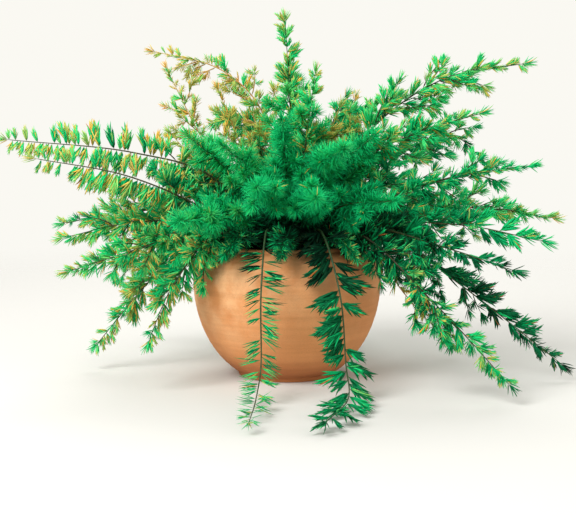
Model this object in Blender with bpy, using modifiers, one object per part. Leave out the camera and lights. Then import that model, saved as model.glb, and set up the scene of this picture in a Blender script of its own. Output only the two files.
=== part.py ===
"""Asparagus fern in a squat round terracotta pot, standing on a surface.

Metres, +Z up. The origin is the centre of the pot's foot, in the plane it stands on, and the front faces -Y.
Each frond is one closed solid: a thin bare stem that widens into the space its branchlets and needles fill.
"""

import math

import bpy
import numpy as np
from mathutils import Vector

# Pot
POT_RADIUS = 0.095
POT_HEIGHT = 0.132
BELLY_HEIGHT = 0.098
FOOT_RADIUS = 0.050
FOOT_BAND = 0.004
FOOT_RING_WIDTH = 0.011
FOOT_RECESS = 0.0025
MOUTH_RADIUS = 0.062
LIP_THICKNESS = 0.008
WALL = 0.0065
FLOOR = 0.009
DRAIN_RADIUS = 0.007
LOWER_TURN = math.radians(65)  # how far the curve turns from the belly down to the foot
UPPER_TURN = math.radians(80)  # how far it turns from the belly up to the lip
FOOT_EDGE = 0.0012
ARC_STEPS = 7

# Soil
SOIL_DROP = 0.012
SOIL_CROWN = 0.003
FIT_GAP = 0.0003
TURNED_SEGMENTS = 48

# Plant
SPREAD = 0.278
PLANT_HEIGHT = 0.356
ROOT_CIRCLE = 0.044
STEM_RADIUS = 0.0012
BARE_STEM = 0.030
OPENING_RUN = 0.030  # length over which a bare stem widens to the full foliage
UPRIGHT_START = 0.006  # each stem leaves the soil straight up
FROND_GAP = 0.0004
POINT_STEP = 0.019
FINE_STEPS = 4  # places between two rings where the room around a frond is measured
CURVE_PARTS = 24
TIP_RADIUS = 0.0015
FLOOR_GAP = 0.0003

# Colours
TERRACOTTA = (0.62, 0.32, 0.14)
SOIL_BROWN = (0.05, 0.035, 0.025)
FOLIAGE_COLORS = {
    "spray": (0.03, 0.28, 0.09),
    "plume": (0.01, 0.30, 0.11),
    "sprig": (0.20, 0.33, 0.06),
    "trailer": (0.02, 0.16, 0.06),
}

# Radius of the space that a kind of frond fills, and the length over which it narrows to its tip
FOLIAGE_RADIUS = {"spray": 0.017, "plume": 0.021, "sprig": 0.013, "trailer": 0.012}
TIP_TAPER = {"spray": 0.060, "plume": 0.030, "sprig": 0.050, "trailer": 0.050}

# Each frond's kind, its root (angle in degrees, share of the root circle) and the places its stem passes
# through: (heading in degrees, reach, height). Heading 0 is +X and 270 is the front. Reach is 0 on the
# pot's axis, 1 at its belly and 2 at the full spread. Height is 0 at the surface, 1 at the lip and 2 at
# the top of the plant.
FRONDS = {
    "frond_left_long_upper": ("spray", 182, 0.75, (187, 0.78, 1.30), (188, 1.30, 1.41), (187, 1.99, 1.47)),
    "frond_left_long_lower": ("spray", 196, 0.85, (196, 0.85, 1.15), (198, 1.35, 1.31), (197, 1.84, 1.39)),
    "frond_left_mid_upper": ("spray", 170, 0.95, (170, 0.85, 1.15), (165, 1.35, 1.14), (168, 1.80, 1.08)),
    "frond_left_mid_lower": ("spray", 190, 1.00, (189, 0.88, 1.10), (187, 1.35, 1.10), (189, 1.70, 1.04)),
    "frond_left_low": ("spray", 208, 1.00, (209, 0.88, 1.10), (212, 1.35, 1.02), (212, 1.76, 0.89)),
    "frond_left_drooping": ("spray", 178, 1.00, (176, 0.88, 1.09), (174, 1.26, 0.70), (176, 1.56, 0.20)),
    "frond_left_drooping_short": ("sprig", 220, 1.00, (220, 0.90, 1.07), (217, 1.22, 0.75), (216, 1.36, 0.36)),
    "frond_arch_left": ("sprig", 118, 0.55, (120, 0.50, 1.58), (140, 0.92, 1.79), (151, 1.37, 1.89)),
    "frond_rising_left": ("sprig", 160, 0.70, (161, 0.55, 1.22), (163, 0.95, 1.47), (158, 1.22, 1.80)),
    "frond_rising_left_short": ("sprig", 150, 0.25, (165, 0.45, 1.38), (168, 0.76, 1.70)),
    "frond_rising_left_low": ("sprig", 164, 0.90, (166, 0.72, 1.22), (170, 1.14, 1.50)),
    "frond_rising_back_left": ("sprig", 98, 0.28, (108, 0.45, 1.32), (122, 0.92, 1.69)),
    "frond_top": ("plume", 60, 0.08, (30, 0.06, 1.45), (180, 0.02, 2.00)),
    "frond_top_front": ("plume", 320, 0.25, (318, 0.24, 1.40), (309, 0.46, 1.76)),
    "frond_top_right": ("sprig", 4, 0.30, (0, 0.34, 1.36), (356, 0.56, 1.62)),
    "frond_right_spike": ("sprig", 26, 0.45, (25, 0.56, 1.33), (23, 0.80, 1.66)),
    "frond_right_rising": ("spray", 0, 0.60, (3, 0.80, 1.47), (4, 1.34, 1.74), (2, 1.79, 1.81)),
    "frond_right_upper": ("spray", 340, 0.60, (339, 0.80, 1.36), (340, 1.18, 1.49), (342, 1.54, 1.58)),
    "frond_right_curling": ("spray", 22, 0.75, (22, 0.85, 1.24), (22, 1.48, 1.50), (21, 1.74, 1.36)),
    "frond_right_mid": ("spray", 342, 0.85, (340, 0.90, 1.17), (340, 1.40, 1.31), (342, 1.80, 1.36)),
    "frond_right_level": ("spray", 10, 0.90, (10, 0.90, 1.13), (9, 1.50, 1.16), (6, 2.00, 1.11)),
    "frond_right_low_mid": ("spray", 336, 1.00, (337, 0.90, 1.09), (335, 1.48, 1.11), (337, 1.88, 1.05)),
    "frond_right_low": ("spray", 325, 1.00, (326, 0.90, 1.09), (325, 1.48, 1.02), (328, 1.80, 0.90)),
    "frond_right_drooping": ("spray", 354, 1.00, (354, 0.90, 1.09), (353, 1.40, 0.74), (352, 1.98, 0.12)),
    "frond_right_drooping_front": ("spray", 318, 1.00, (318, 0.92, 1.07), (319, 1.46, 0.66), (323, 1.84, 0.14)),
    "frond_right_drooping_back": ("sprig", 28, 1.00, (26, 0.92, 1.07), (28, 1.22, 0.62), (25, 1.52, 0.16)),
    "frond_front_plume_right": ("plume", 284, 0.55, (283, 0.62, 1.17), (280, 1.30, 1.24)),
    "frond_front_plume_mid": ("plume", 300, 0.40, (298, 0.55, 1.31), (295, 1.14, 1.43)),
    "frond_front_plume_left": ("plume", 255, 0.50, (257, 0.60, 1.22), (259, 1.24, 1.28)),
    "frond_front_plume_far_left": ("plume", 232, 0.70, (232, 0.72, 1.14), (232, 1.34, 1.14)),
    "frond_front_plume_far_right": ("plume", 312, 0.72, (312, 0.74, 1.17), (310, 1.30, 1.22)),
    "frond_front_plume_high": ("plume", 270, 0.15, (268, 0.30, 1.34), (266, 0.70, 1.54)),
    "frond_front_plume_upper_left": ("plume", 222, 0.38, (226, 0.45, 1.30), (230, 0.98, 1.44)),
    "frond_front_plume_upper_right": ("plume", 332, 0.38, (328, 0.48, 1.30), (320, 1.06, 1.48)),
    "frond_left_plume": ("plume", 192, 0.40, (195, 0.48, 1.26), (204, 1.04, 1.48)),
    "frond_front_skirt_left": ("sprig", 240, 1.00, (240, 0.92, 1.06), (241, 1.13, 0.99)),
    "frond_front_skirt_mid": ("sprig", 268, 1.00, (268, 0.92, 1.06), (267, 1.12, 1.00)),
    "frond_front_skirt_right": ("sprig", 302, 1.00, (302, 0.92, 1.06), (302, 1.14, 0.97)),
    "frond_trailing_left": (
        "trailer", 254, 1.00,
        (256, 0.82, 1.09), (259, 1.16, 0.72), (260, 1.22, 0.25), (261, 1.42, 0.09), (263, 1.86, 0.07),
    ),
    "frond_trailing_right": (
        "trailer", 293, 1.00,
        (293, 0.82, 1.09), (293, 1.16, 0.72), (293, 1.23, 0.25), (288, 1.44, 0.10), (277, 1.88, 0.08),
    ),
    "frond_back_long_left": ("spray", 128, 0.90, (128, 0.88, 1.15), (126, 1.45, 1.28), (127, 1.86, 1.22)),
    "frond_back_long_mid": ("spray", 86, 0.90, (86, 0.88, 1.16), (85, 1.40, 1.32), (86, 1.88, 1.30)),
    "frond_back_long_right": ("spray", 52, 0.90, (52, 0.88, 1.15), (51, 1.42, 1.26), (50, 1.86, 1.16)),
    "frond_back_arch_left": ("spray", 112, 0.65, (112, 0.62, 1.34), (114, 1.14, 1.58), (115, 1.62, 1.56)),
    "frond_back_arch_right": ("spray", 66, 0.60, (64, 0.62, 1.36), (60, 1.16, 1.60), (58, 1.60, 1.58)),
    "frond_back_low_left": ("spray", 145, 1.00, (145, 0.90, 1.09), (144, 1.45, 0.92), (143, 1.80, 0.60)),
    "frond_back_low_mid": ("spray", 103, 1.00, (103, 0.90, 1.09), (102, 1.42, 0.86), (101, 1.76, 0.48)),
    "frond_back_low_right": ("spray", 68, 1.00, (68, 0.90, 1.09), (68, 1.42, 0.84), (70, 1.84, 0.42)),
    "frond_back_side_right": ("spray", 38, 1.00, (37, 0.90, 1.10), (37, 1.40, 1.02), (38, 1.76, 0.80)),
    "frond_back_plume_left": ("plume", 100, 0.40, (102, 0.50, 1.22), (104, 1.06, 1.34)),
    "frond_back_plume_right": ("plume", 80, 0.35, (80, 0.45, 1.24), (78, 1.00, 1.38)),
    "frond_back_plume_far_left": ("plume", 142, 0.55, (142, 0.60, 1.22), (145, 1.16, 1.32)),
    "frond_back_plume_far_right": ("plume", 44, 0.50, (44, 0.58, 1.22), (42, 1.14, 1.36)),
    "frond_back_skirt_left": ("sprig", 118, 1.00, (118, 0.92, 1.07), (119, 1.20, 0.92)),
    "frond_back_skirt_right": ("sprig", 84, 1.00, (85, 0.92, 1.07), (85, 1.20, 0.90)),
}


def clear_scene():
    for obj in list(bpy.data.objects):
        bpy.data.objects.remove(obj, do_unlink=True)


def make_collection(name):
    collection = bpy.data.collections.new(name)
    bpy.context.scene.collection.children.link(collection)
    return collection


def make_material(name, color, roughness):
    material = bpy.data.materials.new(name)
    material.use_nodes = True
    shader = material.node_tree.nodes["Principled BSDF"]
    shader.inputs["Base Color"].default_value = (*color, 1.0)
    shader.inputs["Roughness"].default_value = roughness
    shader.inputs["Metallic"].default_value = 0.0
    return material


def quarter(start, end, turn):
    """Points (radius, height) of an elliptical arc that is upright at start and has turned by `turn` at end."""
    across = (start[0] - end[0]) / (1 - math.cos(turn))
    along = (end[1] - start[1]) / math.sin(turn)
    angles = [turn * i / ARC_STEPS for i in range(ARC_STEPS + 1)]
    return [(start[0] - across * (1 - math.cos(a)), start[1] + along * math.sin(a)) for a in angles]


def pot_curve(inset, floor, top):
    """The belly's curve from top to bottom, moved in by `inset`."""
    belly = (POT_RADIUS - inset, BELLY_HEIGHT)
    upper = quarter(belly, (MOUTH_RADIUS + LIP_THICKNESS - inset, top), UPPER_TURN)
    lower = quarter(belly, (FOOT_RADIUS - inset, floor), LOWER_TURN)
    return upper[::-1] + lower[1:]


def pot_profile():
    """The pot's closed section: down its outer side, under the foot, then up its inner side to the lip."""
    ring_inside = FOOT_RADIUS - FOOT_RING_WIDTH
    outer = pot_curve(0.0, FOOT_BAND, POT_HEIGHT - 0.5 * LIP_THICKNESS)
    foot = [(FOOT_RADIUS, FOOT_EDGE), (FOOT_RADIUS - FOOT_EDGE, 0.0)]
    under = [(ring_inside, 0.0), (ring_inside - FOOT_RECESS, FOOT_RECESS), (DRAIN_RADIUS, FOOT_RECESS)]
    inner = pot_curve(WALL, FLOOR, POT_HEIGHT - 0.5 * LIP_THICKNESS - 0.7 * WALL)[::-1]
    lip = [
        (MOUTH_RADIUS, POT_HEIGHT - 0.4 * LIP_THICKNESS),
        (MOUTH_RADIUS + 0.25 * LIP_THICKNESS, POT_HEIGHT),
        (MOUTH_RADIUS + 0.65 * LIP_THICKNESS, POT_HEIGHT),
    ]
    return outer + foot + under + [(DRAIN_RADIUS, FLOOR)] + inner + lip


def soil_level(radius):
    """Height of the soil's top at a distance from the axis: a low crown in the middle."""
    share = min(1.0, radius / MOUTH_RADIUS)
    return POT_HEIGHT - SOIL_DROP + SOIL_CROWN * (1 - share * share)


def soil_profile():
    """The soil's section from the top of its edge down the wall and over the floor to the axis, and the top."""
    edge = POT_HEIGHT - SOIL_DROP
    top = POT_HEIGHT - 0.5 * LIP_THICKNESS - 0.7 * WALL
    wall = pot_curve(WALL + FIT_GAP, FLOOR + FIT_GAP, top)
    below = [place for place in wall if place[1] < edge]
    above = wall[len(wall) - len(below) - 1]
    share = (edge - below[0][1]) / (above[1] - below[0][1])
    rim = (below[0][0] + share * (above[0] - below[0][0]), edge)
    crown = [(share * rim[0], soil_level(share * rim[0])) for share in (0.0, 0.25, 0.5, 0.75)]
    return crown + [rim] + below + [(0.0, FLOOR + FIT_GAP)]


def turned(name, profile, closed, collection, material):
    """A solid turned about Z from its section, whose outer side runs from top to bottom."""
    mesh = bpy.data.meshes.new(name)
    last = len(profile) - 1
    edges = [(i, i + 1) for i in range(last)] + ([(last, 0)] if closed else [])
    mesh.from_pydata([(radius, 0.0, height) for radius, height in profile], edges, [])
    obj = bpy.data.objects.new(name, mesh)
    collection.objects.link(obj)
    obj.data.materials.append(material)
    screw = obj.modifiers.new("turn", "SCREW")
    screw.angle = math.tau
    screw.steps = screw.render_steps = TURNED_SEGMENTS
    screw.use_merge_vertices = True
    screw.merge_threshold = 0.00005
    screw.use_smooth_shade = False
    return obj


def place(heading, reach, height):
    """The point at a heading, a reach from the pot's axis and a height, in the units of FRONDS."""
    radius = POT_RADIUS * min(reach, 1.0) + (SPREAD - POT_RADIUS) * max(reach - 1.0, 0.0)
    z = POT_HEIGHT * min(height, 1.0) + (PLANT_HEIGHT - POT_HEIGHT) * max(height - 1.0, 0.0)
    angle = math.radians(heading)
    return Vector((radius * math.cos(angle), radius * math.sin(angle), z))


def smooth_curve(lead, points):
    """Points along a centripetal Catmull-Rom spline through `points`, which sets off away from `lead`."""
    padded = [lead] + points + [2 * points[-1] - points[-2]]
    curve = []
    for a, b, c, d in zip(padded, padded[1:], padded[2:], padded[3:]):
        ab, bc, cd = (math.sqrt((q - p).length) for p, q in ((a, b), (b, c), (c, d)))
        into = (b - a) / ab - (c - a) / (ab + bc) + (c - b) / bc
        out = (c - b) / bc - (d - b) / (bc + cd) + (d - c) / cd
        for i in range(CURVE_PARTS):
            t = i / CURVE_PARTS
            weights = (1 - 3 * t**2 + 2 * t**3, t - 2 * t**2 + t**3, 3 * t**2 - 2 * t**3, t**3 - t**2)
            curve.append(weights[0] * b + weights[1] * bc * into + weights[2] * c + weights[3] * bc * out)
    return curve + [points[-1]]


def root_point(angle, share):
    """Where a stem meets the soil."""
    radius = ROOT_CIRCLE * share
    angle = math.radians(angle)
    return Vector((radius * math.cos(angle), radius * math.sin(angle), soil_level(radius) + FIT_GAP))


def stem_path(root, places):
    """Evenly spaced points of a stem above its upright start, FINE_STEPS to each ring, and the run to each."""
    start = root + Vector((0.0, 0.0, UPRIGHT_START))
    line = np.array(smooth_curve(root, [start] + [place(*each) for each in places]))
    run = np.concatenate([[0.0], np.cumsum(np.linalg.norm(np.diff(line, axis=0), axis=1))])
    count = FINE_STEPS * round(run[-1] / POINT_STEP)
    even = np.linspace(0.0, run[-1], count + 1)
    return np.stack([np.interp(even, run, line[:, axis]) for axis in range(3)], axis=1), even


def wanted_radius(kind, run):
    """The radius of a frond's solid along its stem where nothing is in its way."""
    full = FOLIAGE_RADIUS[kind]
    opening = np.clip((run - BARE_STEM) / OPENING_RUN, 0.0, 1.0)
    closing = np.clip((run[-1] - run) / TIP_TAPER[kind], 0.0, 1.0)
    radius = STEM_RADIUS + (full - STEM_RADIUS) * opening * np.sqrt(closing)
    radius[-1] = TIP_RADIUS
    return radius


def distance_to_section(points, section):
    """How far each point is from a turned solid, given as its closed section."""
    flat = np.stack([np.hypot(points[:, 0], points[:, 1]), points[:, 2]], axis=1)[:, None, :]
    start = np.array(section)
    along = np.roll(start, -1, axis=0) - start
    share = np.clip(((flat - start) * along).sum(axis=2) / (along**2).sum(axis=1), 0.0, 1.0)
    return np.linalg.norm(flat - start - share[..., None] * along, axis=2).min(axis=1)


def room_around(name, paths, wants, pot_section):
    """The largest radius at each point of a stem that leaves the pot, the soil, the surface and others clear."""
    points, want = paths[name][0], wants[name]
    soil = POT_HEIGHT - SOIL_DROP + SOIL_CROWN
    over_soil = np.where(np.hypot(points[:, 0], points[:, 1]) < MOUTH_RADIUS, points[:, 2] - soil, np.inf)
    over_soil = np.where(over_soil < BARE_STEM, np.maximum(over_soil * 0.6, STEM_RADIUS), over_soil)
    room = np.minimum(distance_to_section(points, pot_section) - FROND_GAP, points[:, 2] - FLOOR_GAP)
    room = np.minimum(room, over_soil)
    for other in paths:
        if other == name:
            continue
        apart = np.linalg.norm(points[:, None, :] - paths[other][0][None, :, :], axis=2)
        share = want[:, None] / (want[:, None] + wants[other][None, :])
        room = np.minimum(room, (apart * share).min(axis=1) - 0.5 * FROND_GAP)
    return room


def ring_radii(want, room):
    """The radius at each ring: no more than the room anywhere between it and the rings beside it."""
    radii = []
    for ring in range(0, len(want), FINE_STEPS):
        near = room[max(0, ring - FINE_STEPS) : ring + FINE_STEPS + 1]
        radii.append(max(STEM_RADIUS, min(want[ring], near.min())))
    return radii


def frond(name, points, radii, collection, material):
    """A tube along the rings' centres, as wide at each as the frond is there."""
    curve = bpy.data.curves.new(name, "CURVE")
    curve.dimensions = "3D"
    curve.bevel_depth = STEM_RADIUS
    curve.bevel_resolution = 2
    curve.use_fill_caps = True
    spline = curve.splines.new("POLY")
    spline.points.add(len(points) - 1)
    for point, place_at, radius in zip(spline.points, points, radii):
        point.co = (*place_at, 1.0)
        point.radius = radius / STEM_RADIUS
    curve.materials.append(material)
    obj = bpy.data.objects.new(name, curve)
    collection.objects.link(obj)
    return obj


def build_pot(collection):
    material = make_material("terracotta", TERRACOTTA, 0.8)
    turned("pot", pot_profile(), True, collection, material)


def build_soil(collection):
    turned("soil", soil_profile(), False, collection, make_material("potting_soil", SOIL_BROWN, 0.95))


def build_fronds(collection):
    materials = {kind: make_material(f"fern_{kind}", color, 0.6) for kind, color in FOLIAGE_COLORS.items()}
    roots = {name: root_point(*spec[1:3]) for name, spec in FRONDS.items()}
    paths = {name: stem_path(roots[name], spec[3:]) for name, spec in FRONDS.items()}
    wants = {name: wanted_radius(FRONDS[name][0], run) for name, (_, run) in paths.items()}
    section = pot_profile()
    for name, (points, _) in paths.items():
        radii = ring_radii(wants[name], room_around(name, paths, wants, section))
        rings = [tuple(roots[name])] + [tuple(point) for point in points[::FINE_STEPS]]
        frond(name, rings, [STEM_RADIUS] + radii, collection, materials[FRONDS[name][0]])


def main():
    clear_scene()
    collection = make_collection("potted_air_fern")
    build_pot(collection)
    build_soil(collection)
    build_fronds(collection)


if __name__ == "__main__":
    main()
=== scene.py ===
"""Potted asparagus fern in a squat round terracotta pot.

The fern's stems follow the same routes as the frame's fronds. Each carries twigs, and each twig carries
needles. A needle's colours come from its own map: across it runs the tone, one column to a needle, and up
it the length.
"""

import math
import random
from collections import namedtuple

import bmesh
import bpy
import numpy as np
from mathutils import Matrix, Vector


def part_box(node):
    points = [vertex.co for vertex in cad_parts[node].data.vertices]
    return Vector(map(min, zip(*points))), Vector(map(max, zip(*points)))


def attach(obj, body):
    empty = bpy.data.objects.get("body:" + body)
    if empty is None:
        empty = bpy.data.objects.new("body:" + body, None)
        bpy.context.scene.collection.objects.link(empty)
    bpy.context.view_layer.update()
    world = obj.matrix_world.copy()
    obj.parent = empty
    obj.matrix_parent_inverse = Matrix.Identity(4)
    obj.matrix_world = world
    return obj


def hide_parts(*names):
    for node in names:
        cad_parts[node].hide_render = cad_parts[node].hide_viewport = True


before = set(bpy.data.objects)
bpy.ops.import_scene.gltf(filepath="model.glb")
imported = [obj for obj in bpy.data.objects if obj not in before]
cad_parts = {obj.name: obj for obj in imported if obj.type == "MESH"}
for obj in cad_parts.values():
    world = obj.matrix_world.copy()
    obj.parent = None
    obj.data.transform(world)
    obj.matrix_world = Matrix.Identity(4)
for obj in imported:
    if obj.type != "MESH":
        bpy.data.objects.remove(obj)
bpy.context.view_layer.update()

bl_info = {
    "name": "Potted asparagus fern",
    "version": (1, 0, 0),
    "blender": (4, 5, 0),
    "location": "3D View > Sidebar > Fern",
    "description": "Builds an asparagus fern with its terracotta pot and a studio stage",
    "category": "Add Mesh",
}

# The pot's section, as turned
POT_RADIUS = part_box("pot")[1].x
POT_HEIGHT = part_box("pot")[1].z
BELLY_HEIGHT = 0.098
FOOT_RADIUS = 0.050
FOOT_BAND = 0.004
FOOT_RING_WIDTH = 0.011
FOOT_RECESS = 0.0025
MOUTH_RADIUS = 0.062
LIP_THICKNESS = 0.008
WALL = 0.0065
FLOOR = 0.009
DRAIN_RADIUS = 0.007
LOWER_TURN = math.radians(65)
UPPER_TURN = math.radians(80)
FOOT_EDGE = 0.0012
FOOT_TAPER = 0.0008
FOOT_SHOULDER = 0.0003
FOOT_LINES = (0.0085, 0.0125)  # heights of the fine lines turned above the foot
LINE_DEPTH = 0.0006
LINE_WIDTH = 0.0006
LIP_SEAT = POT_HEIGHT - 0.5 * LIP_THICKNESS  # where the belly's curve meets the lip
INNER_TOP = LIP_SEAT - 0.7 * WALL
OUTER_STEPS = 72
LIP_STEPS = 8

# Soil
SOIL_DROP = 0.012
SOIL_CROWN = 0.003
FIT_GAP = 0.0003
RIM_GAP = 0.0005
CRUMBS = 260
CRUMB_HEIGHT = (0.0004, 0.0028)
CRUMB_WIDTH = (0.0015, 0.0045)

# Stems
SPREAD_HEADING = math.radians(6)  # the heading of the frond that ends at the full spread
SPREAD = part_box("frond_right_level")[1].x / math.cos(SPREAD_HEADING)
PLANT_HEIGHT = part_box("frond_top")[1].z
ROOT_CIRCLE = 0.044
UPRIGHT_START = 0.006
STEM_RING = 0.006  # the run between two rings of a stem's tube
FIRST_SHOOT = 0.012  # a frond's first side shoot after its first twig
SHOOT_BARE = 0.008  # the bare start of a side shoot
THIN_END, THINNING = 0.3, 0.36  # twigs shrink over the last share of a stem, by this much at its tip
SHADED_FOOT, SHADE = 0.4, 22  # painted shade: tones darken over the first share of a stem, deep in the crown, by this much at its foot

# Needles that meet the surface or the pot
REST_HEIGHT = 0.0009
SOFT_HEIGHT = 0.004
LIP_CLEAR = 0.001

FLOOR_RADIUS = 1.8

# Needle map: columns of one tone each, with a few that are never shifted
COLUMNS = 64
GOLDEN_COLUMN = 52
FOLD = 1.4  # how far a tone past golden is folded back
MAP_MARGIN = 0.002
DRY_COLUMN = 58
BROWN_STEM, GREEN_STEM, GOLDEN_STEM = 61, 62, 63
GROWTH_MAP = "Growth"
BAKE_MAP = "OFBake"

# Each frond's habit, its root (angle in degrees, share of the root circle) and the places its stem passes
# through: (heading in degrees, reach, height). Heading 0 is +X and 270 is the front. Reach is 0 on the
# pot's axis, 1 at its belly and 2 at the full spread. Height is 0 at the surface, 1 at the lip and 2 at
# the top of the plant.
FRONDS = {
    "left_long_upper": ("curtain", 182, 0.75, (187, 0.78, 1.30), (188, 1.30, 1.41), (187, 1.99, 1.47)),
    "left_long_lower": ("curtain", 196, 0.85, (196, 0.85, 1.15), (198, 1.35, 1.31), (197, 1.84, 1.39)),
    "left_mid_upper": ("leafy", 170, 0.95, (170, 0.85, 1.15), (165, 1.35, 1.14), (168, 1.80, 1.08)),
    "left_mid_lower": ("leafy", 190, 1.00, (189, 0.88, 1.10), (187, 1.35, 1.10), (189, 1.70, 1.04)),
    "left_low": ("leafy", 208, 1.00, (209, 0.88, 1.10), (212, 1.35, 1.02), (212, 1.76, 0.89)),
    "left_drooping": ("leafy", 178, 1.00, (176, 0.88, 1.09), (174, 1.26, 0.70), (176, 1.56, 0.20)),
    "left_drooping_short": ("leafy", 220, 1.00, (220, 0.90, 1.07), (217, 1.22, 0.75), (216, 1.36, 0.36)),
    "arch_left": ("sprig", 118, 0.55, (120, 0.50, 1.58), (140, 0.92, 1.79), (151, 1.37, 1.89)),
    "rising_left": ("sprig", 160, 0.70, (161, 0.55, 1.22), (163, 0.95, 1.47), (158, 1.22, 1.80)),
    "rising_left_short": ("sprig", 150, 0.25, (165, 0.45, 1.38), (168, 0.76, 1.70)),
    "rising_left_low": ("sprig", 164, 0.90, (166, 0.72, 1.22), (170, 1.14, 1.50)),
    "rising_back_left": ("sprig", 98, 0.28, (108, 0.45, 1.32), (122, 0.92, 1.69)),
    "top": ("spire", 60, 0.08, (30, 0.06, 1.45), (180, 0.02, 2.00)),
    "top_front": ("spire", 320, 0.25, (318, 0.24, 1.40), (309, 0.46, 1.76)),
    "top_right": ("sprig", 4, 0.30, (0, 0.34, 1.36), (356, 0.56, 1.62)),
    "right_spike": ("sprig", 26, 0.45, (25, 0.56, 1.33), (23, 0.80, 1.66)),
    "right_rising": ("tufted", 0, 0.60, (3, 0.80, 1.47), (4, 1.34, 1.74), (2, 1.79, 1.81)),
    "right_upper": ("tufted", 340, 0.60, (339, 0.80, 1.36), (340, 1.18, 1.49), (342, 1.54, 1.58)),
    "right_curling": ("tufted", 22, 0.75, (22, 0.85, 1.24), (22, 1.48, 1.50), (21, 1.74, 1.36)),
    "right_mid": ("tufted", 342, 0.85, (340, 0.90, 1.17), (340, 1.40, 1.31), (342, 1.80, 1.36)),
    "right_level": ("tufted", 10, 0.90, (10, 0.90, 1.13), (9, 1.50, 1.16), (6, 2.00, 1.11)),
    "right_low_mid": ("clumped", 336, 1.00, (337, 0.90, 1.09), (335, 1.48, 1.11), (337, 1.88, 1.05)),
    "right_low": ("clumped", 325, 1.00, (326, 0.90, 1.09), (325, 1.48, 1.02), (328, 1.80, 0.90)),
    "right_drooping": ("clumped", 354, 1.00, (354, 0.90, 1.09), (353, 1.40, 0.74), (352, 1.98, 0.12)),
    "right_drooping_front": ("leafy", 318, 1.00, (318, 0.92, 1.07), (319, 1.46, 0.66), (323, 1.84, 0.14)),
    "right_drooping_back": ("straggly", 28, 1.00, (26, 0.92, 1.07), (28, 1.22, 0.62), (25, 1.52, 0.16)),
    "front_plume_right": ("plume", 284, 0.55, (283, 0.62, 1.17), (280, 1.30, 1.24)),
    "front_plume_mid": ("plume", 300, 0.40, (298, 0.55, 1.31), (295, 1.14, 1.43)),
    "front_plume_left": ("plume", 255, 0.50, (257, 0.60, 1.22), (259, 1.24, 1.28)),
    "front_plume_far_left": ("plume", 232, 0.70, (232, 0.72, 1.14), (232, 1.34, 1.14)),
    "front_plume_far_right": ("plume", 312, 0.72, (312, 0.74, 1.17), (310, 1.30, 1.22)),
    "front_plume_high": ("plume", 270, 0.15, (268, 0.30, 1.34), (266, 0.70, 1.54)),
    "front_plume_upper_left": ("plume", 222, 0.38, (226, 0.45, 1.30), (230, 0.98, 1.44)),
    "front_plume_upper_right": ("plume", 332, 0.38, (328, 0.48, 1.30), (320, 1.06, 1.48)),
    "left_plume": ("plume", 192, 0.40, (195, 0.48, 1.26), (204, 1.04, 1.48)),
    "front_skirt_left": ("fringe", 240, 1.00, (240, 0.92, 1.06), (241, 1.13, 0.99)),
    "front_skirt_mid": ("fringe", 268, 1.00, (268, 0.92, 1.06), (267, 1.12, 1.00)),
    "front_skirt_right": ("fringe", 302, 1.00, (302, 0.92, 1.06), (302, 1.14, 0.97)),
    "trailing_left": (
        "wispy", 254, 1.00,
        (256, 0.82, 1.09), (259, 1.16, 0.72), (260, 1.22, 0.25), (261, 1.42, 0.09), (263, 1.86, 0.07),
    ),
    "trailing_right": (
        "paddled", 293, 1.00,
        (293, 0.82, 1.09), (293, 1.16, 0.72), (293, 1.23, 0.25), (288, 1.44, 0.10), (277, 1.88, 0.08),
    ),
    "back_long_left": ("curtain", 128, 0.90, (128, 0.88, 1.15), (126, 1.45, 1.28), (127, 1.86, 1.22)),
    "back_long_mid": ("leafy", 86, 0.90, (86, 0.88, 1.16), (85, 1.40, 1.32), (86, 1.88, 1.30)),
    "back_long_right": ("tufted", 52, 0.90, (52, 0.88, 1.15), (51, 1.42, 1.26), (50, 1.86, 1.16)),
    "back_arch_left": ("leafy", 112, 0.65, (112, 0.62, 1.34), (114, 1.14, 1.58), (115, 1.62, 1.56)),
    "back_arch_right": ("tufted", 66, 0.60, (64, 0.62, 1.36), (60, 1.16, 1.60), (58, 1.60, 1.58)),
    "back_low_left": ("leafy", 145, 1.00, (145, 0.90, 1.09), (144, 1.45, 0.92), (143, 1.80, 0.60)),
    "back_low_mid": ("leafy", 103, 1.00, (103, 0.90, 1.09), (102, 1.42, 0.86), (101, 1.76, 0.48)),
    "back_low_right": ("tufted", 68, 1.00, (68, 0.90, 1.09), (68, 1.42, 0.84), (70, 1.84, 0.42)),
    "back_side_right": ("tufted", 38, 1.00, (37, 0.90, 1.10), (37, 1.40, 1.02), (38, 1.76, 0.80)),
    "back_plume_left": ("plume", 100, 0.40, (102, 0.50, 1.22), (104, 1.06, 1.34)),
    "back_plume_right": ("plume", 80, 0.35, (80, 0.45, 1.24), (78, 1.00, 1.38)),
    "back_plume_far_left": ("plume", 142, 0.55, (142, 0.60, 1.22), (145, 1.16, 1.32)),
    "back_plume_far_right": ("plume", 44, 0.50, (44, 0.58, 1.22), (42, 1.14, 1.36)),
    "back_skirt_left": ("fringe", 118, 1.00, (118, 0.92, 1.07), (119, 1.20, 0.92)),
    "back_skirt_right": ("fringe", 84, 1.00, (85, 0.92, 1.07), (85, 1.20, 0.90)),
}

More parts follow.
